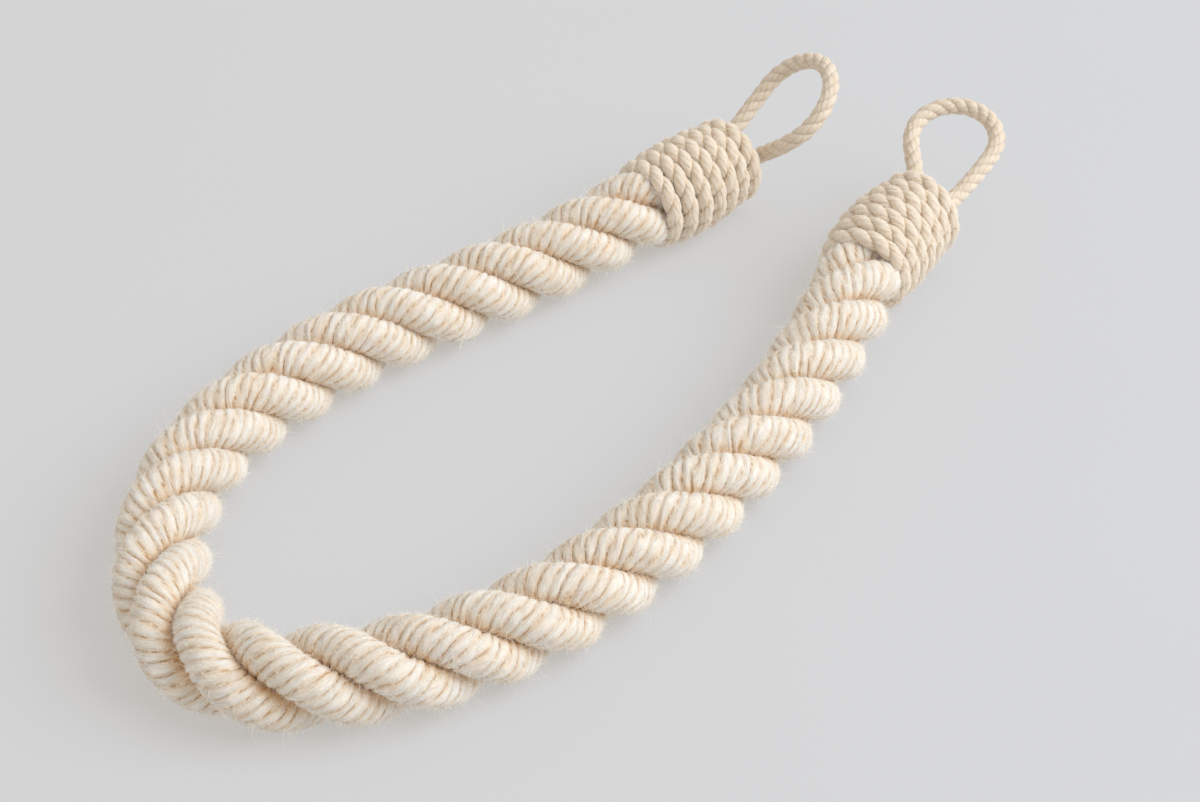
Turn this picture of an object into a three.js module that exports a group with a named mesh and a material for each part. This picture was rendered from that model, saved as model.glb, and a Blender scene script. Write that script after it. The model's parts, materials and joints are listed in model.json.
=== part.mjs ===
// Rope curtain tieback, lying in a U on the floor: a laid rope of three plump strands, each end bound with
// wound cord, and each binding holding a small cord loop.
// Millimetres, +Z up, floor at z = 0. The bend lies towards -X and both loops towards +X.
import * as THREE from 'three';
import { mergeVertices } from 'three/addons/utils/BufferGeometryUtils.js';

// Rope section and lay
const ROPE_RADIUS = 14;
const STRAND_COUNT = 3;
const STRAND_HALF_DEPTH = 6.5;
const STRAND_HALF_WIDTH = 7.9;
const POINTS_PER_STRAND = 10;
const LAY_LENGTH = 59;
const LAY_START = THREE.MathUtils.degToRad(88.6);
const LAY_SLIP = 11.3;
const SLIP_START = 225;
const SLIP_END = 375;
const ROPE_STEP = 4.5;

// Bindings: barrels of thick cord wound over the necked rope end, the last round closing it
const LIP_RADIUS = 15.2;
const BELLY_RADIUS = 17.1;
const BINDING_LENGTH = 44;
const ROUND_COUNT = 6;
const ROUND_PITCH = 5.95;
const ROUND_RISE = 1.5;
const POINTS_PER_ROUND = 5;
const END_RING_RADIUS = 15.6;
const END_FACE_RADIUS = 9.5;
const END_ROUND_START = THREE.MathUtils.degToRad(-40);
const END_POINTS = 6;
const BORE_RADIUS = 12.4;
const BORE_STEPS = 8;
const END_WALL = 6;
const BINDING_SIDES = 32;

// Loops: one bight of cord, pear-shaped, standing out of each binding's end
const CORD_RADIUS = 2.95;
const CORD_SIDES = 10;
const LOOP_STEPS = 45;
const LOOP_LEAD = 3;
const LOOP_BEND_POINTS = 9;

// Clearance between neighbouring pieces, and how fast the rope necks down into its binding
const GAP = 0.3;
const NECK_LENGTH = 7;

// Rope axis from the end face of the left binding, round the bend, to the end face of the right binding
const ROPE_ROUTE = [
  [112.4, 38.2, 16.6], [101.5, 38.6, 16.5], [90.7, 39.3, 16.4], [79.2, 40.3, 16.2], [67.7, 41.8, 16],
  [54, 44, 15], [34, 47, 13.6], [14, 51, 13.2], [-10, 56, 13.2], [-35, 61, 13.2], [-60, 63, 13.2],
  [-85, 62, 13.2], [-106, 57, 13.2], [-124, 48, 13.2], [-136, 38, 13.2], [-146, 27, 13.2], [-152, 17, 13.2],
  [-156, 8, 13.2], [-158, -1, 13.2], [-157, -9, 13.2], [-154, -18, 13.2], [-148, -27, 13.2],
  [-138, -36, 13.2], [-123, -47, 13.2], [-104, -55, 13.2], [-81, -61, 13.2], [-58, -63, 13.2],
  [-33, -63, 13.2], [-8, -60, 13.2], [17, -56, 13.2], [41, -50, 13.3], [65, -43, 14.7], [79, -38, 15.5],
  [88.4, -34.3, 15.8], [99.5, -31.3, 16.2], [110.9, -29.4, 16.5], [121.8, -28.4, 16.7], [132.8, -27.9, 16.8],
];

// Each end of the route, and its loop: tipped up, turned aside, its reach, its bend and where its roots sit
const ENDS = [
  { name: 'left', at: 0, way: -1, pitch: 42.5, yaw: 31, reach: 42, bend: 17, halfGap: 7.5, lift: 1.5 },
  { name: 'right', at: 1, way: 1, pitch: 17.5, yaw: -18, reach: 38.4, bend: 14.2, halfGap: 8.2, lift: 5.8 },
];

const UP = new THREE.Vector3(0, 0, 1);

const routePoints = ROPE_ROUTE.map(([x, y, z]) => new THREE.Vector3(x, y, z));
const ropeAxis = new THREE.CatmullRomCurve3(routePoints, false, 'centripetal');
ropeAxis.arcLengthDivisions = 1200;
const routeLength = ropeAxis.getLength();

function yarnMaterial(color, roughness) {
  return new THREE.MeshStandardMaterial({ color, roughness, metalness: 0 });
}

// Keeps only positions and welds them, so that the skin is closed
function closedSkin(geometry) {
  geometry.deleteAttribute('normal');
  geometry.deleteAttribute('uv');
  const skin = mergeVertices(geometry, 1e-3);
  skin.computeVertexNormals();
  return skin;
}

// Presses whatever reaches below the floor flat against it
function restOnFloor(geometry) {
  const position = geometry.attributes.position;
  for (let i = 0; i < position.count; i += 1) {
    position.setZ(i, Math.max(position.getZ(i), 0));
  }
  return geometry;
}

// Three strands side by side round the rope's axis, each an ellipse pressed flat against its two neighbours
function ropeSection() {
  const strandOffset = ROPE_RADIUS - STRAND_HALF_DEPTH;
  const sector = Math.PI / STRAND_COUNT;
  const slope = Math.tan(sector);
  const reach = Math.hypot(STRAND_HALF_WIDTH, slope * STRAND_HALF_DEPTH);
  const grooveAngle = Math.atan2(slope * STRAND_HALF_DEPTH, STRAND_HALF_WIDTH)
    + Math.asin((slope * strandOffset) / reach);
  const points = [];
  for (let strand = 0; strand < STRAND_COUNT; strand += 1) {
    for (let i = 0; i < POINTS_PER_STRAND; i += 1) {
      const angle = THREE.MathUtils.lerp(-grooveAngle, grooveAngle, i / POINTS_PER_STRAND);
      const point = new THREE.Vector2(
        strandOffset + STRAND_HALF_DEPTH * Math.cos(angle),
        STRAND_HALF_WIDTH * Math.sin(angle),
      );
      points.push(point.rotateAround(new THREE.Vector2(), 2 * sector * strand));
    }
  }
  return new THREE.Shape(points);
}

// How far the rope is squeezed at a distance along the route: fully inside a binding, not at all outside it
function neckScale(distance) {
  const fromLip = Math.min(distance, routeLength - distance) - BINDING_LENGTH;
  const freed = THREE.MathUtils.smoothstep(fromLip, 0, NECK_LENGTH);
  return THREE.MathUtils.lerp((BORE_RADIUS - GAP) / ROPE_RADIUS, 1, freed);
}

// The rope's axis at a distance along the route, with its sideways and upright directions
function axisFrame(distance) {
  const centre = ropeAxis.getPointAt(distance / routeLength);
  const tangent = ropeAxis.getTangentAt(distance / routeLength);
  const side = new THREE.Vector3().crossVectors(tangent, UP).normalize();
  const top = new THREE.Vector3().crossVectors(side, tangent);
  return { centre, tangent, side, top };
}

// How far the lay has turned at a distance along the route: going round the bend opens it a little
function layTurn(distance) {
  const slip = LAY_SLIP * THREE.MathUtils.smoothstep(distance, SLIP_START, SLIP_END);
  return LAY_START + (2 * Math.PI * (distance - slip)) / LAY_LENGTH;
}

// A straight extrusion of the section, carried onto the rope's axis and turned by the lay as it goes
function ropeGeometry() {
  const start = END_WALL + GAP;
  const length = routeLength - 2 * start;
  const geometry = new THREE.ExtrudeGeometry(ropeSection(), {
    depth: length,
    steps: Math.round(length / ROPE_STEP),
    bevelEnabled: false,
  });
  const position = geometry.attributes.position;
  for (let i = 0; i < position.count; i += 1) {
    const distance = start + position.getZ(i);
    const { centre, side, top } = axisFrame(distance);
    const section = new THREE.Vector2(position.getX(i), position.getY(i));
    section.rotateAround(new THREE.Vector2(), layTurn(distance)).multiplyScalar(neckScale(distance));
    centre.addScaledVector(top, section.x).addScaledVector(side, section.y);
    position.setXYZ(i, centre.x, centre.y, centre.z);
  }
  return restOnFloor(closedSkin(geometry));
}

// Half outline of a binding from the foot of its bore, over the lip and the rounds, to the middle of its end
function bindingOutline() {
  const bottom = BINDING_LENGTH - END_WALL;
  const outline = [[0, bottom]];
  for (let i = BORE_STEPS; i >= 0; i -= 1) {
    outline.push([BORE_RADIUS, (bottom * i) / BORE_STEPS]);
  }
  const lastPoint = ROUND_COUNT * POINTS_PER_ROUND;
  for (let i = 0; i <= lastPoint; i += 1) {
    const fromBelly = (2 * i) / lastPoint - 1;
    const crest = THREE.MathUtils.lerp(BELLY_RADIUS, LIP_RADIUS, fromBelly ** 2);
    const swell = Math.abs(Math.sin((Math.PI * i) / POINTS_PER_ROUND));
    outline.push([crest - ROUND_RISE * (1 - swell), (ROUND_PITCH * i) / POINTS_PER_ROUND]);
  }
  const woundLength = ROUND_COUNT * ROUND_PITCH;
  const shoulder = END_RING_RADIUS - END_FACE_RADIUS;
  const lowest = Math.sin(END_ROUND_START);
  for (let i = 1; i <= END_POINTS; i += 1) {
    const angle = THREE.MathUtils.lerp(END_ROUND_START, Math.PI / 2, i / END_POINTS);
    const along = THREE.MathUtils.mapLinear(Math.sin(angle), lowest, 1, woundLength, BINDING_LENGTH);
    outline.push([END_FACE_RADIUS + shoulder * Math.cos(angle), along]);
  }
  outline.push([0, BINDING_LENGTH]);
  return outline.map(([radius, along]) => new THREE.Vector2(radius, along));
}

// A straight turned barrel, carried onto the end of the rope's axis
function bindingGeometry({ at, way }) {
  const geometry = new THREE.LatheGeometry(bindingOutline(), BINDING_SIDES);
  const position = geometry.attributes.position;
  for (let i = 0; i < position.count; i += 1) {
    const { centre, side, top } = axisFrame(at * routeLength - way * (BINDING_LENGTH - position.getY(i)));
    centre.addScaledVector(side, way * position.getX(i)).addScaledVector(top, position.getZ(i));
    position.setXYZ(i, centre.x, centre.y, centre.z);
  }
  return restOnFloor(closedSkin(geometry));
}

// Cord path of a loop: two roots on the binding's end face, straight legs and a round bend between them
function loopPath({ at, way, pitch, yaw, reach, bend, halfGap, lift }) {
  const { centre, tangent, side } = axisFrame(at * routeLength);
  const outward = tangent.multiplyScalar(way);
  const right = side.multiplyScalar(way);
  const face = centre.addScaledVector(outward, GAP).addScaledVector(UP, lift);
  const heading = outward.clone().applyAxisAngle(UP, -THREE.MathUtils.degToRad(yaw));
  const across = new THREE.Vector3().crossVectors(heading, UP).normalize();
  heading.applyAxisAngle(across, THREE.MathUtils.degToRad(pitch));
  const hinge = face.clone().addScaledVector(outward, LOOP_LEAD);
  const bendCentre = reach - LOOP_LEAD - bend;
  const legAngle = Math.atan2(halfGap, bendCentre) - Math.asin(bend / Math.hypot(bendCentre, halfGap));
  const sweep = Math.PI / 2 - legAngle;
  const points = [
    face.clone().addScaledVector(right, -halfGap),
    hinge.clone().addScaledVector(right, -halfGap),
  ];
  for (let i = 0; i < LOOP_BEND_POINTS; i += 1) {
    const angle = THREE.MathUtils.lerp(-sweep, sweep, i / (LOOP_BEND_POINTS - 1));
    const point = hinge.clone().addScaledVector(heading, bendCentre + bend * Math.cos(angle));
    points.push(point.addScaledVector(across, bend * Math.sin(angle)));
  }
  points.push(hinge.clone().addScaledVector(right, halfGap), face.clone().addScaledVector(right, halfGap));
  return new THREE.CatmullRomCurve3(points, false, 'centripetal');
}

function loopGeometry(place) {
  const corners = [];
  for (let i = 0; i < CORD_SIDES; i += 1) {
    const angle = (2 * Math.PI * (i + 0.5)) / CORD_SIDES;
    corners.push(new THREE.Vector2(CORD_RADIUS * Math.cos(angle), CORD_RADIUS * Math.sin(angle)));
  }
  const geometry = new THREE.ExtrudeGeometry(new THREE.Shape(corners), {
    steps: LOOP_STEPS,
    extrudePath: loopPath(place),
    bevelEnabled: false,
  });
  return closedSkin(geometry);
}

function piece(name, geometry, material) {
  const mesh = new THREE.Mesh(geometry, material);
  mesh.name = name;
  return mesh;
}

const tieback = new THREE.Group();
tieback.add(piece('rope', ropeGeometry(), yarnMaterial(0xe9dec9, 0.95)));
for (const place of ENDS) {
  tieback.add(piece(`binding_${place.name}`, bindingGeometry(place), yarnMaterial(0xdfd1b9, 0.92)));
  tieback.add(piece(`loop_${place.name}`, loopGeometry(place), yarnMaterial(0xe2d3bb, 0.9)));
}

export default tieback;
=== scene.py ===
"""Rope curtain tieback, dressed.

A thick rope of three plump strands lies in a U. Each end is bound with rounds of two-ply cord, and a loop
of twisted cord stands out of each binding. Metres, +Z up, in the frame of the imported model.
"""

import json
import logging
import math
from abc import ABC, abstractmethod
from collections.abc import Sequence
from dataclasses import dataclass, replace
from enum import Enum
from typing import Any

import bpy
import numpy as np
from bpy.types import Material, Mesh, Node, NodeSocket, NodeTree, Object
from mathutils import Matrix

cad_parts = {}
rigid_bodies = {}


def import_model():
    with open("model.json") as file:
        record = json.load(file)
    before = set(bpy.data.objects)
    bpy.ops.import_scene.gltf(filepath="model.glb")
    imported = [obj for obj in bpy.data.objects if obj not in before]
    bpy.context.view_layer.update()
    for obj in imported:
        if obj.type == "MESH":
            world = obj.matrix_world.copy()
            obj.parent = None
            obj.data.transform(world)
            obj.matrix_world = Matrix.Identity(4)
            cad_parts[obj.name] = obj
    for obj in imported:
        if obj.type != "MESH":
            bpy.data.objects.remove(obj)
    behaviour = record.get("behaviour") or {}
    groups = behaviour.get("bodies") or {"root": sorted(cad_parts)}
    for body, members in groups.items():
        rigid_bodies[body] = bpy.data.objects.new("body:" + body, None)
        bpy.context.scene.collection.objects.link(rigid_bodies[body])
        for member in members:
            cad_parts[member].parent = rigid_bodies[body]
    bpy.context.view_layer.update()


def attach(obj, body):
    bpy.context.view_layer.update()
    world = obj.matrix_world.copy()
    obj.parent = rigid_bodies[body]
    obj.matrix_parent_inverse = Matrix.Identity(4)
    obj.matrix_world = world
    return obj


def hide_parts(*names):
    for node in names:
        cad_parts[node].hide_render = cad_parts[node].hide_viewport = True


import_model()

log = logging.getLogger("tieback")

MM = 0.001
TAU = 2 * math.pi
BODY = "root"
UP = np.array([0.0, 0.0, 1.0])
SHADER = "Principled BSDF"
MATT_SPECULAR = 0.1
NOISE_MEAN = 0.5

# Rope axis in metres, from the end face of the left binding, round the bend, to that of the right binding
ROPE_ROUTE = (
    (0.1124, 0.0382, 0.0166), (0.1015, 0.0386, 0.0165), (0.0907, 0.0393, 0.0164), (0.0792, 0.0403, 0.0162),
    (0.0677, 0.0418, 0.016), (0.054, 0.044, 0.015), (0.034, 0.047, 0.0136), (0.014, 0.051, 0.0132),
    (-0.01, 0.056, 0.0132), (-0.035, 0.061, 0.0132), (-0.06, 0.063, 0.0132), (-0.085, 0.062, 0.0132),
    (-0.106, 0.057, 0.0132), (-0.124, 0.048, 0.0132), (-0.136, 0.038, 0.0132), (-0.146, 0.027, 0.0132),
    (-0.152, 0.017, 0.0132), (-0.156, 0.008, 0.0132), (-0.158, -0.001, 0.0132), (-0.157, -0.009, 0.0132),
    (-0.154, -0.018, 0.0132), (-0.148, -0.027, 0.0132), (-0.138, -0.036, 0.0132), (-0.123, -0.047, 0.0132),
    (-0.104, -0.055, 0.0132), (-0.081, -0.061, 0.0132), (-0.058, -0.063, 0.0132), (-0.033, -0.063, 0.0132),
    (-0.008, -0.06, 0.0132), (0.017, -0.056, 0.0132), (0.041, -0.05, 0.0133), (0.065, -0.043, 0.0147),
    (0.079, -0.038, 0.0155), (0.0884, -0.0343, 0.0158), (0.0995, -0.0313, 0.0162),
    (0.1109, -0.0294, 0.0165), (0.1218, -0.0284, 0.0167), (0.1328, -0.0279, 0.0168),
)


def add_node(
    tree: NodeTree, kind: str, links: dict[str | int, Any] | None = None, **settings: Any
) -> Node:
    """Adds one node, sets its properties, and links or sets its inputs.

    Args:
        tree: The tree that gets the node.
        kind: The node's type.
        links: A socket to link, or a value to set, for each input, by its name or place.
        settings: A value for each property of the node that isn't left as it is.

    Returns:
        The new node.
    """
    node = tree.nodes.new(kind)
    for key, value in settings.items():
        setattr(node, key, value)
    for key, source in (links or {}).items():
        if isinstance(source, NodeSocket):
            tree.links.new(source, node.inputs[key])
        else:
            node.inputs[key].default_value = source
    return node


def linear(hex_colour: str) -> tuple[float, float, float, float]:
    """Turns an sRGB hex colour into linear values.

    Args:
        hex_colour: The colour as six hex digits after a hash.

    Returns:
        Linear red, green and blue, and an alpha of one.
    """
    parts = [int(hex_colour[i:i + 2], 16) / 255 for i in (1, 3, 5)]
    red, green, blue = (c / 12.92 if c <= 0.04045 else ((c + 0.055) / 1.055) ** 2.4 for c in parts)
    return red, green, blue, 1.0


def smooth_step(low: float, high: float, value: np.ndarray) -> np.ndarray:
    """Rises smoothly from 0 at low to 1 at high.

    Args:
        low: Where the rise starts.
        high: Where it ends.
        value: Where it is read.

    Returns:
        The height of the rise at each value.
    """
    t = np.clip((value - low) / (high - low), 0.0, 1.0)
    return t * t * (3 - 2 * t)


def unit(vectors: np.ndarray) -> np.ndarray:
    """Returns the vectors at a length of one."""
    return vectors / np.linalg.norm(vectors, axis=-1, keepdims=True)


def lengths_along(points: np.ndarray) -> np.ndarray:
    """Returns how far along the line each of its points lies."""
    return np.concatenate([[0.0], np.cumsum(np.linalg.norm(np.diff(points, axis=0), axis=1))])


def curve_through(points: Sequence[Sequence[float]], per_span: int) -> np.ndarray:
    """Draws a centripetal Catmull-Rom curve through points.

    Args:
        points: The points that it passes.
        per_span: How many steps lie between two of them.

    Returns:
        Points along the curve.
    """
    p = np.array(points, float)
    p = np.vstack([2 * p[0] - p[1], p, 2 * p[-1] - p[-2]])
    t = np.linspace(0, 1, per_span, endpoint=False)[:, None]
    spans = []
    for p0, p1, p2, p3 in zip(p, p[1:], p[2:], p[3:]):
        d0, d1, d2 = (math.sqrt(np.linalg.norm(b - a)) for a, b in ((p0, p1), (p1, p2), (p2, p3)))
        m1 = ((p1 - p0) / d0 - (p2 - p0) / (d0 + d1) + (p2 - p1) / d1) * d1
        m2 = ((p2 - p1) / d1 - (p3 - p1) / (d1 + d2) + (p3 - p2) / d2) * d1
        spans.append(
            (2 * t**3 - 3 * t**2 + 1) * p1 + (t**3 - 2 * t**2 + t) * m1
            + (3 * t**2 - 2 * t**3) * p2 + (t**3 - t**2) * m2
        )
    return np.vstack([*spans, p[-2:-1]])


class Sum(Enum):
    """The kinds of node that a formula is worked out with, by what a step's first input is."""

    NUMBER = "ShaderNodeMath"
    VECTOR = "ShaderNodeVectorMath"


def work_out(tree: NodeTree, values: dict[str, Any], steps: Sequence[tuple]) -> None:
    """Adds a formula to a tree, one node for each step.

    Args:
        tree: The tree that gets the nodes.
        values: Sockets by name, to which each step adds its result.
        steps: Rows of result name, operation, and inputs, which are names, sockets or numbers.
    """
    for name, operation, *inputs in steps:
        # The number that scales a vector goes into its node's fourth input
        places = (0, 3) if operation == "SCALE" else range(len(inputs))
        links = {at: values[x] if isinstance(x, str) else x for at, x in zip(places, inputs)}
        kind = Sum.VECTOR if getattr(links[0], "type", None) == "VECTOR" else Sum.NUMBER
        values[name] = add_node(tree, kind.value, links, operation=operation).outputs[0]


def new_material(name: str, inputs: dict[str, Any]) -> Material:
    """Starts a matt material.

    Args:
        name: The real material's name.
        inputs: A value for each input of its shader that isn't left as it is.

    Returns:
        The new material, with nothing linked to its shader yet.
    """
    material = bpy.data.materials.new(name)
    material.use_nodes = True
    shader = material.node_tree.nodes[SHADER]
    for socket, value in {"Specular IOR Level": MATT_SPECULAR, **inputs}.items():
        shader.inputs[socket].default_value = value
    return material


@dataclass(frozen=True)
class YarnFinish:
    """Soft spun yarn, matt and hairy: painted paler on its crests as highlight, with broken brown dashes
    of painted shade where yarns meet and painted warm shade toward the grooves between strands.

    Light enters it a little way, so its shadows are soft and warm. Widths and lengths are real sizes.
    Single fibres are far finer than a pixel, so tufts of them are drawn.
    """

    # How far a dash lies below the tufts beside it, as a share of their height
    DASH_DIP = -0.5

    name: str
    crest: str
    body: str
    shade_and_fleck_colour: str
    groove_shade: str
    shade_dash_strength: float
    fleck_strength: float
    groove_shade_strength: float
    groove_shade_from: float
    dash_width: float
    dash_length: float
    fibre_width: float
    fibre_length: float
    mottle: float
    bump: float
    soften: float
    roughness: float = 0.95
    sheen: float = 0.35
    light_depth: float = 2.5 * MM

    def make(self) -> Material:
        """Builds the material from the cord's own attributes.

        Returns:
            The new material.
        """
        material = new_material(self.name, {
            "Roughness": self.roughness, "Sheen Weight": self.sheen, "Sheen Roughness": 0.6,
            "Sheen Tint": linear(self.crest), "Subsurface Weight": self.soften,
            "Subsurface Radius": (1.0, 0.8, 0.55), "Subsurface Scale": self.light_depth,
        })
        tree = material.node_tree
        hollow, sunk, fibre = (
            add_node(tree, "ShaderNodeAttribute", attribute_name=name).outputs
            for name in ("hollow", "sunk", "fibre")
        )
        place = add_node(tree, "ShaderNodeTexCoord").outputs["Object"]
        # Both noises are drawn out along the yarn, as its fibres and the gaps beside it are
        drawn = {}
        for name, width, length, detail in (
            ("streaks", self.fibre_width, self.fibre_length, 3.0),
            ("dashes", self.dash_width, self.dash_length, 1.0),
        ):
            stretched = add_node(
                tree, "ShaderNodeVectorMath",
                {0: fibre["Vector"], 1: (1 / width, 1 / width, 1 / length)}, operation="MULTIPLY",
            )
            drawn[name] = add_node(
                tree, "ShaderNodeTexNoise",
                {"Vector": stretched.outputs[0], "Scale": 1.0, "Detail": detail, "Roughness": 0.6},
            ).outputs["Fac"]
        patches = add_node(
            tree, "ShaderNodeTexNoise", {"Vector": place, "Scale": 1 / self.mottle, "Detail": 2.0}
        ).outputs["Fac"]
        ramps = {}
        for name, value, low, high, least, most in (
            # These three draw broken dashes of painted shade in the hollows between yarns, fuller on the
            # strands' flanks
            ("broken", drawn["dashes"], 0.45, 0.58, 0.0, 1.0),
            ("line", hollow["Fac"], 0.58, 0.97, 0.0, self.shade_dash_strength),
            ("flank", sunk["Fac"], 0.0, 0.35, 0.6, 1.0),
            ("fleck", drawn["streaks"], 0.44, 0.3, 0.0, self.fleck_strength),
            # Paints warm shade down each strand's flanks into the grooves between strands
            ("depth", sunk["Fac"], self.groove_shade_from, 0.74, 0.0, self.groove_shade_strength),
            # Paints the yarn paler on its crests and warmer towards its hollows: painted highlight and
            # painted shade
            ("crest_light_hollow_shade", hollow["Fac"], 0.05, 0.6, 0.0, 0.38),
            ("blotch", patches, 0.35, 0.65, 0.0, 0.3),
            ("tone", drawn["streaks"], 0.3, 0.7, 0.92, 1.04),
        ):
            ramps[name] = add_node(
                tree, "ShaderNodeMapRange",
                {"Value": value, "From Min": low, "From Max": high, "To Min": least, "To Max": most},
                interpolation_type="SMOOTHSTEP",
            ).outputs[0]
        work_out(tree, ramps, [
            ("long_shade_dash", "MULTIPLY", "line", "flank"),
            ("shade_dash", "MULTIPLY", "long_shade_dash", "broken"),
            # Dashes of painted shade and the yarn's own random flecks take one colour
            ("shade_and_fleck_share", "MAXIMUM", "shade_dash", "fleck"),
            # Painted crest highlight and hollow shade, together with random blotches of the yarn's own
            # tone
            ("painted_light_and_blotch", "ADD", "crest_light_hollow_shade", "blotch"),
            ("fluff", "MULTIPLY_ADD", "shade_dash", self.DASH_DIP, drawn["streaks"]),
        ])
        # The colour goes from the crests, painted paler as highlight, to the hollows, painted warmer as
        # shade, with random blotches of the yarn's own tone; dashes of painted shade between yarns and
        # random flecks darken it; painted warm shade deepens it toward the grooves between strands
        colour = linear(self.crest)
        for share, other in (("painted_light_and_blotch", self.body), ("shade_and_fleck_share", self.shade_and_fleck_colour), ("depth", self.groove_shade)):
            colour = add_node(
                tree, "ShaderNodeMix", {"Factor": ramps[share], "A": colour, "B": linear(other)},
                data_type="RGBA",
            ).outputs["Result"]
        toned = add_node(
            tree, "ShaderNodeVectorMath", {0: colour, "Scale": ramps["tone"]}, operation="SCALE"
        )
        relief = add_node(
            tree, "ShaderNodeBump", {"Strength": 0.8, "Distance": self.bump, "Height": ramps["fluff"]}
        )
        shader = tree.nodes[SHADER]
        tree.links.new(toned.outputs[0], shader.inputs["Base Color"])
        tree.links.new(relief.outputs[0], shader.inputs["Normal"])
        return material


@dataclass(frozen=True)
class GlowingFinish:
    """A matt material in soft patches of two shades, with a glow that is painted light."""

    name: str
    colour: str
    shade: str
    patch: float
    glow: str
    glow_strength: float
    roughness: float

    def make(self) -> Material:
        """Builds the material.

        Returns:
            The new material.
        """
        material = new_material(self.name, {
            "Roughness": self.roughness, "Emission Color": linear(self.glow),
            "Emission Strength": self.glow_strength,
        })
        tree = material.node_tree
        place = add_node(tree, "ShaderNodeTexCoord").outputs["Object"]
        patches = add_node(tree, "ShaderNodeTexNoise", {"Vector": place, "Scale": 1 / self.patch})
        mixed = add_node(
            tree, "ShaderNodeMix",
            {"Factor": patches.outputs["Fac"], "A": linear(self.colour), "B": linear(self.shade)},
            data_type="RGBA",
        )
        tree.links.new(mixed.outputs["Result"], tree.nodes[SHADER].inputs["Base Color"])
        return material


class Twist(Enum):
    """Which way something winds: Z is right-handed and S left-handed."""

    Z = 1.0
    S = -1.0


@dataclass(frozen=True)
class CordMake:
    """How a laid cord is made: strands laid round its axis, each of yarns wound round it the other way.

    Lay and lead are how far strands and yarns go in one turn. Depth and width are a strand's half sizes
    away from the cord's axis and along its surface, and relief is how deep the hollows between yarns are.
    """

    strands: int
    lay: float
    offset: float
    depth: float
    width: float
    yarns: int
    lead: float
    relief: float
    ring_step: float
    sides_per_yarn: int
    wander: float
    lumps: float
    strand_twist: Twist = Twist.Z
    yarn_twist: Twist = Twist.S
    start: float = 0.0
    seed: float = 0.0


class PieceTree(ABC):
    """A Geometry Nodes tree that makes pieces out of meshes, with a named input for each setting."""

    TITLE: str
    NUMBERS: tuple[str, ...]
    COUNTS: tuple[str, ...]

    def __init__(self) -> None:
        """Builds the tree once for all its pieces, from inputs to Realize Instances and Set Material."""
        tree = self.tree = bpy.data.node_groups.new(self.TITLE, "GeometryNodeTree")
        self.ids: dict[str, str] = {}
        face = tree.interface
        face.new_socket("Source", in_out="INPUT", socket_type="NodeSocketGeometry")
        for kind, names in (("Float", self.NUMBERS), ("Int", self.COUNTS), ("Material", ("Finish",))):
            for name in names:
                socket = face.new_socket(name, in_out="INPUT", socket_type=f"NodeSocket{kind}")
                self.ids[name] = socket.identifier
        face.new_socket("Piece", in_out="OUTPUT", socket_type="NodeSocketGeometry")
        given = add_node(tree, "NodeGroupInput").outputs
        values = {name.lower(): given[name] for name in (*self.NUMBERS, *self.COUNTS)}
        shape = self._shape(given["Source"], values)
        whole = add_node(tree, "GeometryNodeRealizeInstances", {0: shape}).outputs[0]
        finish = given["Finish"]
        dressed = add_node(tree, "GeometryNodeSetMaterial", {"Geometry": whole, "Material": finish})
        add_node(tree, "NodeGroupOutput", {0: dressed.outputs[0]})

    @abstractmethod
    def _shape(self, source: NodeSocket, values: dict[str, Any]) -> NodeSocket:
        """Adds the nodes that shape a piece.

        Args:
            source: The mesh that the piece starts from.
            values: The tree's inputs by name, to which results are added.

        Returns:
            The shaped piece.
        """

    def _above_floor(self, place: NodeSocket, operation: str, *limits: float) -> NodeSocket:
        """Raises what reaches below the floor.

        Args:
            place: Where a point lies.
            operation: The sum that raises its height.
            limits: What the sum takes beside the height.

        Returns:
            Where the point lies then.
        """
        x, y, z = add_node(self.tree, "ShaderNodeSeparateXYZ", {0: place}).outputs
        values = {}
        work_out(self.tree, values, [("height", operation, z, *limits)])
        return add_node(self.tree, "ShaderNodeCombineXYZ", {0: x, 1: y, 2: values["height"]}).outputs[0]

    def grow(self, name: str, source: Mesh, settings: dict[str, Any]) -> Object:
        """Makes one piece.

        Args:
            name: The new piece's name.
            source: The mesh that it starts from, which is used up.
            settings: A value for each named input.

        Returns:
            The piece as a plain mesh object at the origin.
        """
        piece = bpy.data.objects.new(name, source)
        bpy.context.scene.collection.objects.link(piece)
        modifier = piece.modifiers.new(self.TITLE, "NODES")
        modifier.node_group = self.tree
        for key, value in settings.items():
            modifier[self.ids[key]] = value
        graph = bpy.context.evaluated_depsgraph_get()
        made = bpy.data.meshes.new_from_object(piece.evaluated_get(graph))
        made.name = name
        piece.modifiers.clear()
        piece.data = made
        bpy.data.meshes.remove(source)
        return piece


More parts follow.
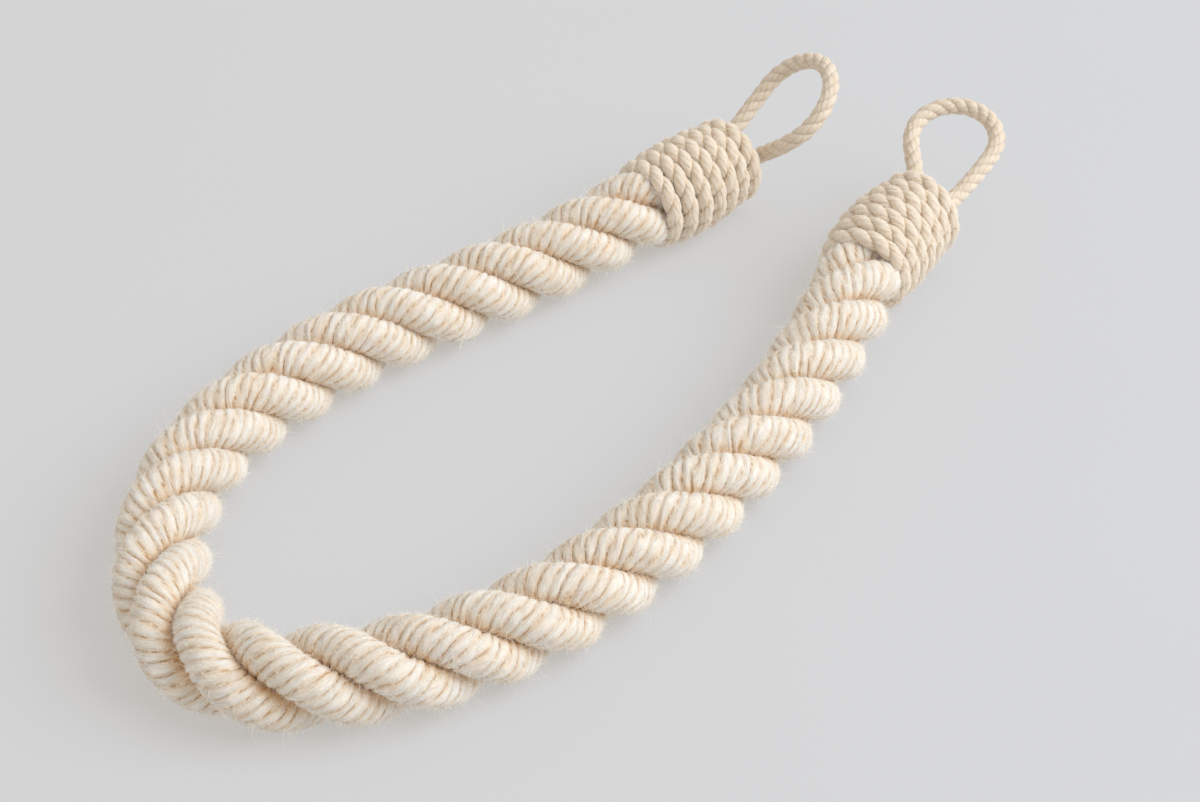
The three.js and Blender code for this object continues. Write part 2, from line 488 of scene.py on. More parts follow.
class LaidCordTree(PieceTree):
    """The tree that lays a cord along a path, with its strands and yarns as real relief."""

    TITLE = "laid cord"
    NUMBERS = ("Lay", "Start", "Offset", "Depth", "Width", "Lead", "Relief", "Wander", "Lumps", "Seed")
    COUNTS = ("Strands", "Yarns", "Rings", "Sides")
    LUMP_LENGTH = 9 * MM
    # How far apart two strands read the noises, so that no two are alike
    STRAND_SHIFT = 7.3
    # How fast each noise changes round a strand and along it
    NOISES = (("lump_noise", 1.1, 1.1), ("wander_noise", 0.4, 3.2), ("press_noise", 2.6, 2.6))
    # How the noise makes a hollow between yarns deeper or shallower
    PRESS_GAIN, PRESS_LEAST = 2.4, -0.2
    FLOOR_ROUNDING = 0.4 * MM

    def _shape(self, source: NodeSocket, values: dict[str, Any]) -> NodeSocket:
        """Bends plain tubes into the strands of a cord.

        Args:
            source: The path as a mesh of edges.
            values: The tree's inputs by name, to which results are added.

        Returns:
            The strands.
        """
        tree = self.tree
        curve = add_node(tree, "GeometryNodeMeshToCurve", {"Mesh": source}).outputs[0]
        values["length"] = add_node(tree, "GeometryNodeCurveLength", {"Curve": curve}).outputs[0]
        work_out(tree, values, [("round_sides", "MULTIPLY", "yarns", "sides")])
        tube = add_node(
            tree, "GeometryNodeMeshCylinder",
            {"Vertices": values["round_sides"], "Side Segments": values["rings"],
             "Radius": 1.0, "Depth": 1.0},
        )
        spots = add_node(tree, "GeometryNodePoints", {"Count": values["strands"]})
        tubes = add_node(
            tree, "GeometryNodeInstanceOnPoints",
            {"Points": spots.outputs[0], "Instance": tube.outputs[0]},
        )
        index = add_node(tree, "GeometryNodeInputIndex").outputs[0]
        numbered = add_node(
            tree, "GeometryNodeStoreNamedAttribute",
            {"Geometry": tubes.outputs[0], "Name": "strand", "Value": index},
            data_type="FLOAT", domain="INSTANCE",
        )
        loose = add_node(tree, "GeometryNodeRealizeInstances", {0: numbered.outputs[0]}).outputs[0]
        values["strand"] = add_node(
            tree, "GeometryNodeInputNamedAttribute", {"Name": "strand"}, data_type="FLOAT"
        ).outputs[0]
        self._follow(values, curve)
        self._lay(values)
        self._wind(values)
        for name, kind in (("hollow", "FLOAT"), ("sunk", "FLOAT"), ("fibre", "FLOAT_VECTOR")):
            loose = add_node(
                tree, "GeometryNodeStoreNamedAttribute",
                {"Geometry": loose, "Name": name, "Value": values[name]}, data_type=kind, domain="POINT",
            ).outputs[0]
        place = self._above_floor(values["free"], "SMOOTH_MAX", 0.0, self.FLOOR_ROUNDING)
        placed = add_node(tree, "GeometryNodeSetPosition", {"Geometry": loose, "Position": place})
        return add_node(tree, "GeometryNodeSetShadeSmooth", {0: placed.outputs[0]}).outputs[0]

    def _follow(self, values: dict[str, Any], curve: NodeSocket) -> None:
        """Reads the path beside each point of the tubes.

        Args:
            values: Sockets by name, which get the path's place, way, top, girth and slip.
            curve: The path.
        """
        tree = self.tree
        place = add_node(tree, "GeometryNodeInputPosition").outputs[0]
        values.update(zip("xyz", add_node(tree, "ShaderNodeSeparateXYZ", {0: place}).outputs))
        work_out(tree, values, [
            ("around", "ARCTAN2", "y", "x"),
            ("along", "ADD", "z", 0.5),
            ("distance", "MULTIPLY", "along", "length"),
        ])
        for name, kind in (("top", "FLOAT_VECTOR"), ("girth", "FLOAT"), ("slip", "FLOAT")):
            stored = add_node(tree, "GeometryNodeInputNamedAttribute", {"Name": name}, data_type=kind)
            read = add_node(
                tree, "GeometryNodeSampleCurve",
                {"Curves": curve, "Value": stored.outputs[0], "Length": values["distance"]},
                data_type=kind, mode="LENGTH", use_all_curves=True,
            )
            values[name] = read.outputs["Value"]
            values["axis"] = read.outputs["Position"]
            values["way"] = read.outputs["Tangent"]

    def _lay(self, values: dict[str, Any]) -> None:
        """Works out where each strand runs and which way its section faces.

        Args:
            values: Sockets by name, which get the strand's reach, directions and distance.
        """
        work_out(self.tree, values, [
            ("side_long", "CROSS_PRODUCT", "way", "top"),
            ("side", "NORMALIZE", "side_long"),
            ("upright", "CROSS_PRODUCT", "side", "way"),
            ("lay_rate", "DIVIDE", TAU, "lay"),
            ("share", "DIVIDE", TAU, "strands"),
            ("own_start", "MULTIPLY_ADD", "strand", "share", "start"),
            ("laid_distance", "SUBTRACT", "distance", "slip"),
            ("turn", "MULTIPLY_ADD", "laid_distance", "lay_rate", "own_start"),
            ("turn_cos", "COSINE", "turn"),
            ("turn_sin", "SINE", "turn"),
            ("up_part", "SCALE", "upright", "turn_cos"),
            ("side_part", "SCALE", "side", "turn_sin"),
            ("outward", "ADD", "up_part", "side_part"),
            ("round_way", "CROSS_PRODUCT", "way", "outward"),
            ("reach", "MULTIPLY", "offset", "girth"),
            ("slope", "MULTIPLY", "reach", "lay_rate"),
            ("lean", "SCALE", "round_way", "slope"),
            ("strand_long", "ADD", "way", "lean"),
            ("strand_way", "NORMALIZE", "strand_long"),
            ("sideways", "CROSS_PRODUCT", "strand_way", "outward"),
            ("steep", "MULTIPLY", "offset", "lay_rate"),
            ("stretch_squared", "MULTIPLY_ADD", "steep", "steep", 1.0),
            ("stretch", "SQRT", "stretch_squared"),
            ("strand_distance", "MULTIPLY", "distance", "stretch"),
        ])

    def _wind(self, values: dict[str, Any]) -> None:
        """Works out the yarns' relief, the attributes for the finish, and each point's place.

        Args:
            values: Sockets by name, which get the hollow, sunk and fibre attributes and the free place.
        """
        tree = self.tree
        work_out(tree, values, [
            ("around_cos", "COSINE", "around"),
            ("around_sin", "SINE", "around"),
            ("strand_far", "MULTIPLY_ADD", "strand", self.STRAND_SHIFT, "seed"),
            ("lump_along", "MULTIPLY_ADD", "strand_distance", 1 / self.LUMP_LENGTH, "strand_far"),
        ])
        lump_at = add_node(
            tree, "ShaderNodeCombineXYZ",
            {0: values["around_cos"], 1: values["around_sin"], 2: values["lump_along"]},
        )
        for name, around, along in self.NOISES:
            spread = add_node(
                tree, "ShaderNodeVectorMath", {0: lump_at.outputs[0], 1: (around, around, along)},
                operation="MULTIPLY",
            )
            noise = add_node(
                tree, "ShaderNodeTexNoise", {"Vector": spread.outputs[0], "Scale": 1.0, "Detail": 1.0}
            )
            values[name] = noise.outputs["Fac"]
        work_out(tree, values, [
            ("lump_even", "SUBTRACT", "lump_noise", NOISE_MEAN),
            ("lump", "MULTIPLY", "lump_even", "lumps"),
            ("wander_even", "SUBTRACT", "wander_noise", NOISE_MEAN),
            ("twist_rate", "DIVIDE", TAU, "lead"),
            ("twist_turn", "MULTIPLY_ADD", "strand_distance", "twist_rate", "around"),
            ("section_turn", "MULTIPLY_ADD", "wander_even", "wander", "twist_turn"),
            ("section_cos", "COSINE", "section_turn"),
            ("section_sin", "SINE", "section_turn"),
            ("half_yarns", "MULTIPLY", "yarns", 0.5),
            ("ridge_turn", "MULTIPLY", "around", "half_yarns"),
            ("ridge_sine", "SINE", "ridge_turn"),
            ("ridge", "ABSOLUTE", "ridge_sine"),
            ("hollow", "SUBTRACT", 1.0, "ridge"),
            ("press", "MULTIPLY_ADD", "press_noise", self.PRESS_GAIN, self.PRESS_LEAST),
            ("deep", "MULTIPLY", "hollow", "press"),
            ("dip", "MULTIPLY", "deep", "relief"),
            ("rise", "SUBTRACT", "lump", "dip"),
            ("sunk", "MULTIPLY_ADD", "section_cos", -0.5, 0.5),
            ("depth_here", "ADD", "depth", "rise"),
            ("width_here", "ADD", "width", "rise"),
            ("out_far", "MULTIPLY", "depth_here", "section_cos"),
            ("side_far", "MULTIPLY", "width_here", "section_sin"),
            ("from_strand", "SCALE", "outward", "out_far"),
            ("beside_strand", "SCALE", "sideways", "side_far"),
            ("section", "ADD", "from_strand", "beside_strand"),
            ("section_here", "SCALE", "section", "girth"),
            ("to_strand", "SCALE", "outward", "reach"),
            ("strand_axis", "ADD", "axis", "to_strand"),
            ("free", "ADD", "strand_axis", "section_here"),
            ("winding", "MULTIPLY", "depth", "twist_rate"),
            ("yarn_squared", "MULTIPLY_ADD", "winding", "winding", 1.0),
            ("yarn_stretch", "SQRT", "yarn_squared"),
            ("yarn_distance", "MULTIPLY", "strand_distance", "yarn_stretch"),
            ("fibre_reach", "DIVIDE", "depth", "yarn_stretch"),
            ("fibre_x", "MULTIPLY", "around_cos", "fibre_reach"),
            ("fibre_y", "MULTIPLY", "around_sin", "fibre_reach"),
            ("fibre_z", "ADD", "yarn_distance", "strand_far"),
        ])
        values["fibre"] = add_node(
            tree, "ShaderNodeCombineXYZ",
            {0: values["fibre_x"], 1: values["fibre_y"], 2: values["fibre_z"]},
        ).outputs[0]

    def lay(
        self, name: str, path: np.ndarray, tops: np.ndarray, make: CordMake, finish: Material,
        girths: np.ndarray | float = 1.0, slips: np.ndarray | float = 0.0,
    ) -> Object:
        """Lays one cord along a path.

        Args:
            name: The new piece's name.
            path: Points down the middle of the cord.
            tops: A direction, for each point or for all, from which the strands' places are counted.
            make: How the cord is made.
            finish: The cord's material.
            girths: How thick the cord is at each point, as a share of its full size.
            slips: How far the lay lags behind at each point.

        Returns:
            The cord as a plain mesh object at the origin.
        """
        count = len(path)
        line = bpy.data.meshes.new(f"{name} path")
        line.from_pydata(path.tolist(), [(i, i + 1) for i in range(count - 1)], [])
        for key, kind, field, table in (
            ("top", "FLOAT_VECTOR", "vector", np.broadcast_to(tops, path.shape)),
            ("girth", "FLOAT", "value", np.broadcast_to(girths, count)),
            ("slip", "FLOAT", "value", np.broadcast_to(slips, count)),
        ):
            line.attributes.new(key, kind, "POINT").data.foreach_set(field, table.flatten())
        # Most inputs are named after the fields of the make
        settings = {key: getattr(make, key.lower()) for key in (*self.NUMBERS, "Strands", "Yarns")}
        return self.grow(name, line, settings | {
            "Lay": make.strand_twist.value * make.lay, "Lead": make.yarn_twist.value * make.lead,
            "Rings": round(float(lengths_along(path)[-1]) / make.ring_step), "Sides": make.sides_per_yarn,
            "Finish": finish,
        })


@dataclass(frozen=True)
class FibreCrop:
    """How loose fibres stand on a yarn: how many to a square metre, how long, thick and leaning.

    The lean is in radians. A real fibre is about 0.03 mm thick, which is too fine to show, so these are
    drawn coarser.
    """

    density: float
    length: float
    thickness: float
    lean: float
    segments: int
    seed: int


class StrayFibreTree(PieceTree):
    """The tree that stands loose fibres on the outside of a cord."""

    TITLE = "stray fibres"
    NUMBERS = ("Density", "Length", "Thickness", "Lean")
    COUNTS = ("Segments", "Seed")
    # How far a fibre's middle and its tip stand aside, as shares of its length
    BENDS = ((0.1, 0.3), (-0.25, 0.45), (0.4, 0.1), (0.55, -0.35))
    MIDDLE_HEIGHT = 0.6
    TIP_TURN = 0.15
    SIDES = 3
    WELD = 1e-4
    SHORTEST, LONGEST = 0.5, 1.5
    # Fibres stand where a strand isn't sunk deeper or lying lower than this
    DEEPEST = 0.7
    LOWEST = 0.6 * MM
    FLOOR_GAP = 0.05 * MM

    def _shape(self, source: NodeSocket, values: dict[str, Any]) -> NodeSocket:
        """Stands fibres of several bends and lengths on a cord.

        Args:
            source: The cord.
            values: The tree's inputs by name, to which results are added.

        Returns:
            The fibres.
        """
        tree = self.tree
        place = add_node(tree, "GeometryNodeInputPosition").outputs[0]
        values["height"] = add_node(tree, "ShaderNodeSeparateXYZ", {0: place}).outputs[2]
        values["sunk"] = add_node(
            tree, "GeometryNodeInputNamedAttribute", {"Name": "sunk"}, data_type="FLOAT"
        ).outputs[0]
        work_out(tree, values, [
            ("shown", "LESS_THAN", "sunk", self.DEEPEST),
            ("raised", "GREATER_THAN", "height", self.LOWEST),
            ("bears", "MULTIPLY", "shown", "raised"),
            ("girth", "DIVIDE", "thickness", "length"),
            ("radius", "MULTIPLY", "girth", 0.5),
            ("lean_back", "MULTIPLY", "lean", -1.0),
        ])
        seed = values["seed"]
        roots = add_node(
            tree, "GeometryNodeDistributePointsOnFaces",
            {"Mesh": source, "Selection": values["bears"], "Density": values["density"], "Seed": seed},
        ).outputs
        shapes = add_node(tree, "GeometryNodeJoinGeometry")
        for shape in self._bent(values):
            tree.links.new(shape, shapes.inputs[0])
        least, most = (
            add_node(tree, "ShaderNodeCombineXYZ", {0: values[lean], 1: values[lean], 2: turn}).outputs[0]
            for lean, turn in (("lean_back", -math.pi), ("lean", math.pi))
        )
        # Each kind of random value has its own sockets
        leaning, size, which = (
            add_node(
                tree, "FunctionNodeRandomValue", {at: low, at + 1: high, "Seed": seed}, data_type=kind
            ).outputs[at // 2]
            for kind, at, low, high in (
                ("FLOAT_VECTOR", 0, least, most),
                ("FLOAT", 2, self.SHORTEST, self.LONGEST),
                ("INT", 4, 0, len(self.BENDS) - 1),
            )
        )
        turned = add_node(tree, "FunctionNodeEulerToRotation", {0: leaning})
        stood = add_node(
            tree, "FunctionNodeRotateRotation",
            {"Rotation": roots["Rotation"], "Rotate By": turned.outputs[0]}, rotation_space="LOCAL",
        )
        work_out(tree, values, [("own_length", "MULTIPLY", size, "length")])
        crop = add_node(
            tree, "GeometryNodeInstanceOnPoints",
            {"Points": roots["Points"], "Instance": shapes.outputs[0], "Pick Instance": True,
             "Instance Index": which, "Rotation": stood.outputs[0], "Scale": values["own_length"]},
        )
        whole = add_node(tree, "GeometryNodeRealizeInstances", {0: crop.outputs[0]}).outputs[0]
        lifted = self._above_floor(place, "MAXIMUM", self.FLOOR_GAP)
        return add_node(tree, "GeometryNodeSetPosition", {0: whole, "Position": lifted}).outputs[0]

    def _bent(self, values: dict[str, Any]) -> list[NodeSocket]:
        """Makes one closed fibre of unit length for each bend.

        Args:
            values: Sockets by name, with the radius of a fibre of unit length.

        Returns:
            The fibres, each an instance.
        """
        tree = self.tree
        profile = add_node(
            tree, "GeometryNodeCurvePrimitiveCircle",
            {"Resolution": self.SIDES, "Radius": values["radius"]},
        ).outputs[0]
        along = add_node(tree, "GeometryNodeSplineParameter").outputs["Factor"]
        work_out(tree, values, [("taper", "SUBTRACT", 1.0, along), ("points", "ADD", "segments", 1.0)])
        shapes = []
        for middle, tip in self.BENDS:
            shape = add_node(
                tree, "GeometryNodeCurveQuadraticBezier",
                {"Start": (0, 0, 0), "Middle": (middle, 0, self.MIDDLE_HEIGHT),
                 "End": (tip, self.TIP_TURN, 1)},
            ).outputs[0]
            for kind, settings in (
                ("GeometryNodeResampleCurve", {"Count": values["points"]}),
                ("GeometryNodeCurveToMesh",
                 {"Profile Curve": profile, "Scale": values["taper"], "Fill Caps": True}),
                ("GeometryNodeMergeByDistance", {"Distance": self.WELD}),
                ("GeometryNodeGeometryToInstance", {}),
            ):
                shape = add_node(tree, kind, {0: shape, **settings}).outputs[0]
            shapes.append(shape)
        return shapes

    def stand(self, name: str, cord: Object, crop: FibreCrop, finish: Material) -> Object:
        """Stands one crop of fibres on a cord.

        Args:
            name: The new piece's name.
            cord: The cord that the fibres stand on.
            crop: How they stand.
            finish: Their material.

        Returns:
            The fibres as a plain mesh object at the origin.
        """
        settings = {key: getattr(crop, key.lower()) for key in (*self.NUMBERS, *self.COUNTS)}
        return self.grow(name, cord.data.copy(), settings | {"Finish": finish})


def dress(piece: Object, slot: str, *nodes: str) -> None:
    """Rides a piece on the part's body and hides the solids that it replaces.

    Args:
        piece: The finished piece.
        slot: Its material slot in the record; not used.
        nodes: The solids that it replaces, if any.
    """
    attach(piece, BODY)
    if nodes:
        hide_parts(*nodes)
    log.info("%s: %d faces", piece.name, len(piece.data.polygons))


@dataclass
class Rope:
    """The thick laid rope, from inside one binding, round the bend, to inside the other.

    Going round the bend opens its lay a little, which is its slip.
    """

    diameter: float = 28 * MM
    binding_cover: float = 44 * MM
    end_set_back: float = 7 * MM
    neck_share: float = 0.8
    neck_inside: float = 5 * MM
    neck_outside: float = 3 * MM
    lay_slip: float = 11.3 * MM
    slip_start: float = 225 * MM
    slip_end: float = 375 * MM
    steps_per_span: int = 16

    def route(self) -> np.ndarray:
        """Returns points along the rope's axis, from one binding's end face to the other's."""
        return curve_through(ROPE_ROUTE, self.steps_per_span)

    def build(
        self, cords: LaidCordTree, fibres: StrayFibreTree, make: CordMake, crops: dict[str, FibreCrop],
        yarn_finish: Material, fibre_finish: Material,
    ) -> None:
        """Args:
            cords: The tree that lays cords.
            fibres: The tree that stands loose fibres on them.
            make: How the rope is made, its start counted from the first end face.
            crops: The rope's loose fibres, by name.
            yarn_finish: The rope's material.
            fibre_finish: The fibres' material.
        """
        route = self.route()
        along = lengths_along(route)
        from_end = np.minimum(along, along[-1] - along)
        kept = from_end >= self.end_set_back
        path = route[kept]
        freed = smooth_step(-self.neck_inside, self.neck_outside, from_end[kept] - self.binding_cover)
        girths = self.neck_share + (1 - self.neck_share) * freed
        slips = self.lay_slip * smooth_step(self.slip_start, self.slip_end, along[kept])
        first_turn = make.strand_twist.value * TAU * along[kept][0] / make.lay
        laid = replace(make, start=make.start + first_turn)
        rope = cords.lay("rope_strands", path, UP, laid, yarn_finish, girths, slips)
        dress(rope, "rope_yarn", "rope")
        loose = []
        for name, crop in crops.items():
            loose.append(fibres.stand(name, rope, crop, fibre_finish))
            dress(loose[-1], "rope_yarn")


@dataclass(frozen=True)
class LoopPlan:
    """How a loop stands: tipped up, turned aside, its reach, its bend and where its roots sit."""

    pitch_deg: float
    yaw_deg: float
    reach: float
    bend_radius: float
    root_half_gap: float
    root_lift: float


@dataclass
class Binding:
    """Rounds of two-ply cord over one end of the rope, closed by a ring and a flat spiral, with its loop.

    The run is the rope's axis as far as this binding's end face.
    """

    name: str
    run: np.ndarray
    loop: LoopPlan
    length: float = 44 * MM
    rounds: int = 6
    round_pitch: float = 5.95 * MM
    cord_half: float = 3 * MM
    lip_radius: float = 15.2 * MM
    belly_radius: float = 17.1 * MM
    ring_place: float = 38.7 * MM
    ring_radius: float = 12.5 * MM
    spiral_place: float = 40.7 * MM
    spiral_radii: tuple[float, ...] = (7.2 * MM, 2.3 * MM)
    jog_turns: float = 0.08
    steps_per_turn: int = 60
    loop_gap: float = 0.3 * MM
    loop_lead: float = 3 * MM
    loop_root_depth: float = 4 * MM
    loop_bend_points: int = 9
    loop_steps_per_span: int = 12
    loop_diameter: float = 5.9 * MM

    def carried(self, along: np.ndarray) -> tuple[np.ndarray, np.ndarray, np.ndarray, np.ndarray]:
        """Finds the rope's axis under the binding, and its directions there.

        Args:
            along: Distances from the binding's lip.

        Returns:
            The axis, and its outward, right and upper directions at each distance.
        """
        far = lengths_along(self.run)
        ways = np.gradient(self.run, far, axis=0)
        at = far[-1] - self.length + along
        centre, outward = (
            np.column_stack([np.interp(at, far, column) for column in table.T])
            for table in (self.run, ways)
        )
        outward = unit(outward)
        right = unit(np.cross(outward, UP))
        return centre, outward, right, np.cross(right, outward)

    def coil(self) -> tuple[np.ndarray, np.ndarray]:
        """Winds the cord round by round from the lip, then in a flat spiral over the end.

        Each round lies level and steps on to the next one underneath, where it rests.

        Returns:
            Points along the cord, and the direction in which its rounds face at each.
        """
        wound = (np.arange(self.rounds) + 0.5) * self.round_pitch
        from_belly = 2 * wound / (self.rounds * self.round_pitch) - 1
        crests = self.belly_radius - (self.belly_radius - self.lip_radius) * from_belly**2
        places = [*wound, self.ring_place, *(self.spiral_place for _ in self.spiral_radii)]
        radii = [*(crests - self.cord_half), self.ring_radius, *self.spiral_radii]
        turns = len(places)
        turn = np.linspace(0, turns, turns * self.steps_per_turn + 1)
        steps = [smooth_step(k - self.jog_turns, k + self.jog_turns, turn) for k in range(1, turns)]
        along, radius = (
            table[0] + sum((b - a) * step for a, b, step in zip(table, table[1:], steps))
            for table in (places, radii)
        )
        flat = steps[self.rounds][:, None]
        centre, outward, right, top = self.carried(along)
        angle = TAU * turn[:, None]
        spoke = np.sin(angle) * right - np.cos(angle) * top
        return centre + radius[:, None] * spoke, unit(spoke * (1 - flat) + outward * flat)

    def loop_path(self) -> tuple[np.ndarray, np.ndarray]:
        """Draws the loop: two roots in the binding's end, legs and a round bend between them.

        Returns:
            Points along the cord, and the direction square to the loop.
        """
        plan = self.loop
        centre, outward, right, _ = (table[0] for table in self.carried(np.array([self.length])))
        yaw, pitch = -math.radians(plan.yaw_deg), math.radians(plan.pitch_deg)
        heading = math.cos(yaw) * outward + math.sin(yaw) * np.cross(UP, outward)
        across = unit(np.cross(heading, UP))
        heading = math.cos(pitch) * heading + math.sin(pitch) * np.cross(across, heading)
        face = centre + self.loop_gap * outward + plan.root_lift * UP
        hinge = face + self.loop_lead * outward
        far = plan.reach - self.loop_lead - plan.bend_radius
        leg_length = math.hypot(far, plan.root_half_gap)
        leg = math.atan2(plan.root_half_gap, far) - math.asin(plan.bend_radius / leg_length)
        sweep = math.pi / 2 - leg
        bend = [
            hinge + heading * (far + plan.bend_radius * math.cos(angle))
            + across * plan.bend_radius * math.sin(angle)
            for angle in np.linspace(-sweep, sweep, self.loop_bend_points)
        ]
        gap = right * plan.root_half_gap
        root = face - outward * self.loop_root_depth
        points = curve_through(
            [root - gap, face - gap, hinge - gap, *bend, hinge + gap, face + gap, root + gap],
            self.loop_steps_per_span,
        )
        return points, unit(np.cross(across, heading))

    def build(
        self, cords: LaidCordTree, fibres: StrayFibreTree, makes: tuple[CordMake, CordMake],
        crop: FibreCrop, finishes: tuple[Material, Material, Material],
    ) -> None:
        """Winds the binding, stands loose fibres on it and lays its loop.

        Args:
            cords: The tree that lays cords.
            fibres: The tree that stands loose fibres on them.
            makes: How the binding's and the loop's cords are made.
            crop: The binding's loose fibres.
            finishes: Materials of the binding, the loop and the fibres.
        """
        binding = cords.lay(f"{self.name}_binding_cord", *self.coil(), makes[0], finishes[0])
        dress(binding, "binding_cord", f"binding_{self.name}")
        loose = fibres.stand(f"{self.name}_binding_fibres", binding, crop, finishes[2])
        dress(loose, "binding_cord")
        path, square = self.loop_path()
        loop = cords.lay(f"{self.name}_loop_cord", path, square, makes[1], finishes[1])
        dress(loop, "loop_cord", f"loop_{self.name}")


@dataclass
class Studio:
    """Camera, pale floor and soft light."""

    camera_place: tuple[float, float, float] = (-0.374, -0.3515, 0.4511)
    camera_heading_deg: float = 43.0
    camera_pitch_deg: float = 41.355
    camera_near: float = 10 * MM
    lens: float = 66.0
    sensor: float = 36.0
    floor_size: float = 8.0
    floor_drop: float = 0.1 * MM
    key_size: float = 2.1
    key_distance: float = 2.4
    key_elevation_deg: float = 40.0
    key_turn_deg: float = -4.0
    key_power: float = 42.0
    key_colour: str = "#f9fcff"
    fill_strength: float = 0.69
    fill_colour: str = "#f8f3ec"

    def camera(self) -> None:
        """Sets the camera at the photograph's viewing angle."""
        data = bpy.data.cameras.new("camera")
        data.lens, data.sensor_width, data.sensor_fit = self.lens, self.sensor, "HORIZONTAL"
        data.clip_start = self.camera_near
        camera = bpy.data.objects.new("camera", data)
        camera.location = self.camera_place
        camera.rotation_euler = (
            math.radians(90 - self.camera_pitch_deg), 0.0, math.radians(self.camera_heading_deg - 90)
        )
        bpy.context.scene.collection.objects.link(camera)
        bpy.context.scene.camera = camera

    def floor(self, finish: Material) -> None:
        """Lays the floor.

        Args:
            finish: Its material.
        """
        half = self.floor_size / 2
        data = bpy.data.meshes.new("floor")
        corners = ((-half, -half), (half, -half), (half, half), (-half, half))
        data.from_pydata([(x, y, -self.floor_drop) for x, y in corners], [], [(0, 1, 2, 3)])
        data.materials.append(finish)
        floor = bpy.data.objects.new("floor", data)
        bpy.context.scene.collection.objects.link(floor)

    def light(self) -> None:
        """Hangs a large soft light on the camera's right, a little behind, and fills the rest evenly."""
        scene = bpy.context.scene
        data = bpy.data.lights.new("key", "AREA")
        data.shape, data.size, data.energy = "DISK", self.key_size, self.key_power
        data.color = linear(self.key_colour)[:3]
        key = bpy.data.objects.new("key", data)
        turn = math.radians(self.camera_heading_deg - 90 + self.key_turn_deg)
        rise = math.radians(self.key_elevation_deg)
        level = math.cos(rise)
        towards = np.array([math.cos(turn) * level, math.sin(turn) * level, math.sin(rise)])
        key.location = towards * self.key_distance
        key.rotation_euler = (math.pi / 2 - rise, 0.0, turn + math.pi / 2)
        scene.collection.objects.link(key)
        world = bpy.data.worlds.new("even light")
        world.use_nodes = True
        sky = world.node_tree.nodes["Background"]
        sky.inputs["Color"].default_value = linear(self.fill_colour)
        sky.inputs["Strength"].default_value = self.fill_strength
        scene.world = world
        scene.view_settings.view_transform = "Standard"


ROPE_MAKE = CordMake(
    strands=3, lay=59 * MM, offset=7.5 * MM, depth=6.5 * MM, width=6.3 * MM, yarns=5, lead=12.8 * MM,
    relief=0.48 * MM, ring_step=0.6 * MM, sides_per_yarn=6, wander=1.5, lumps=0.9 * MM,
    start=math.radians(88.6), seed=3.0,
)
BINDING_MAKE = CordMake(
    strands=2, lay=12.3 * MM, offset=1.35 * MM, depth=1.65 * MM, width=2.2 * MM, yarns=5, lead=7 * MM,
    relief=0.22 * MM, ring_step=0.75 * MM, sides_per_yarn=4, wander=0.5, lumps=0.25 * MM, seed=11.0,
)
LOOP_MAKE = CordMake(
    strands=3, lay=14 * MM, offset=1.25 * MM, depth=1.7 * MM, width=1.9 * MM, yarns=4, lead=6 * MM,
    relief=0.14 * MM, ring_step=0.6 * MM, sides_per_yarn=4, wander=0.5, lumps=0.15 * MM, seed=23.0,
)
ROPE_CROPS = {
    name: FibreCrop(density, length * MM, thickness * MM, lean, segments, seed)
    for name, density, length, thickness, lean, segments, seed in (
        ("rope_haze", 0.6e6, 1.4, 0.1, 1.25, 1, 5),
        ("rope_down", 0.24e6, 2.3, 0.08, 1.3, 2, 6),
        ("rope_strays", 0.06e6, 5, 0.08, 1.25, 3, 8),
    )
}
BINDING_CROP = FibreCrop(
    density=0.8e6, length=1.4 * MM, thickness=0.08 * MM, lean=1.3, segments=1, seed=13
)
# Each yarn finish paints highlight on the yarn crests, shade in dashes between yarns and warm shade toward
# the grooves between strands, beside the yarn's own random tone
ROPE_YARN = YarnFinish(
    name="soft spun cream wool yarn", crest="#f5f0e9", body="#e4cdae", shade_and_fleck_colour="#c2945a", groove_shade="#e6b878",
    shade_dash_strength=0.95, fleck_strength=0.18, groove_shade_strength=0.9, groove_shade_from=0.25,
    dash_width=1.3 * MM, dash_length=2.6 * MM, fibre_width=0.35 * MM, fibre_length=5 * MM,
    mottle=6 * MM, bump=0.35 * MM, soften=0.4,
)
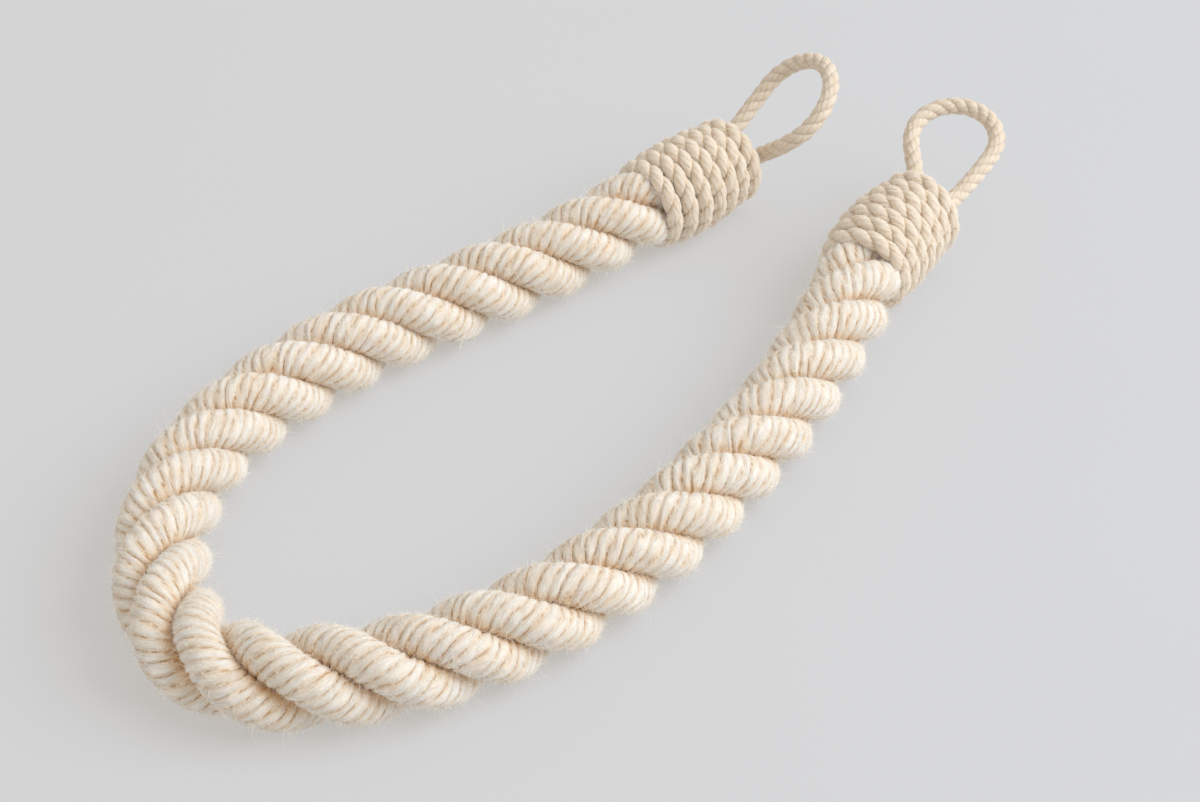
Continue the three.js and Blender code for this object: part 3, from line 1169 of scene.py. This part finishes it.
BINDING_CORD = YarnFinish(
    name="wound two-ply cream cord", crest="#f1e6d8", body="#f0e0cb", shade_and_fleck_colour="#d2ab78", groove_shade="#f8deba",
    shade_dash_strength=0.6, fleck_strength=0.4, groove_shade_strength=0.8, groove_shade_from=0.3,
    dash_width=1 * MM, dash_length=4 * MM, fibre_width=0.3 * MM, fibre_length=4 * MM,
    mottle=4 * MM, bump=0.25 * MM, soften=0.2,
)
LOOP_CORD = replace(
    BINDING_CORD, name="twisted cream cord", crest="#f0e4d5", body="#ead7be", groove_shade="#f4d6b0",
    shade_dash_strength=0.5, fleck_strength=0.35, bump=0.18 * MM, soften=0.15,
)
# Pale and matt fibres, so fine that they show as a soft haze along an edge. Light passes right through a
# fibre, so it is bright even in shade, which a faint glow stands in for.
LOOSE_FIBRE = GlowingFinish(
    name="loose cream wool fibre", colour="#fdf9f2", shade="#f1e6d4", patch=6 * MM,
    glow="#fdf9f2", glow_strength=0.15, roughness=0.8,
)
# Pale matt floor with a warm glow, which is painted light: it keeps the shadows on it weak, warm and soft.
# The floor itself is cool and the glow warm, so that it is a plain grey where light falls.
GLOWING_FLOOR = GlowingFinish(
    name="pale floor with painted warm glow", colour="#8d949f", shade="#8b929d", patch=90 * MM,
    glow="#f7f1e8", glow_strength=0.43, roughness=0.9,
)
LOOPS = {
    name: LoopPlan(pitch, yaw, reach * MM, bend_radius * MM, half_gap * MM, lift * MM)
    for name, pitch, yaw, reach, bend_radius, half_gap, lift in (
        ("left", 42.5, 31, 42, 17, 7.5, 1.5),
        ("right", 17.5, -18, 38.4, 14.2, 8.2, 5.8),
    )
}


def main() -> None:
    """Builds the tieback piece by piece."""
    logging.basicConfig(level=logging.INFO, format="%(name)s %(message)s")
    studio = Studio()
    studio.camera()
    cords, fibres = LaidCordTree(), StrayFibreTree()
    rope = Rope()
    fibre_finish = LOOSE_FIBRE.make()
    rope.build(cords, fibres, ROPE_MAKE, ROPE_CROPS, ROPE_YARN.make(), fibre_finish)
    makes = (BINDING_MAKE, LOOP_MAKE)
    finishes = (BINDING_CORD.make(), LOOP_CORD.make(), fibre_finish)
    route = rope.route()
    for name, run in (("left", route[::-1]), ("right", route)):
        Binding(name, run, LOOPS[name]).build(cords, fibres, makes, BINDING_CROP, finishes)
    studio.floor(GLOWING_FLOOR.make())
    studio.light()


if __name__ == "__main__":
    main()
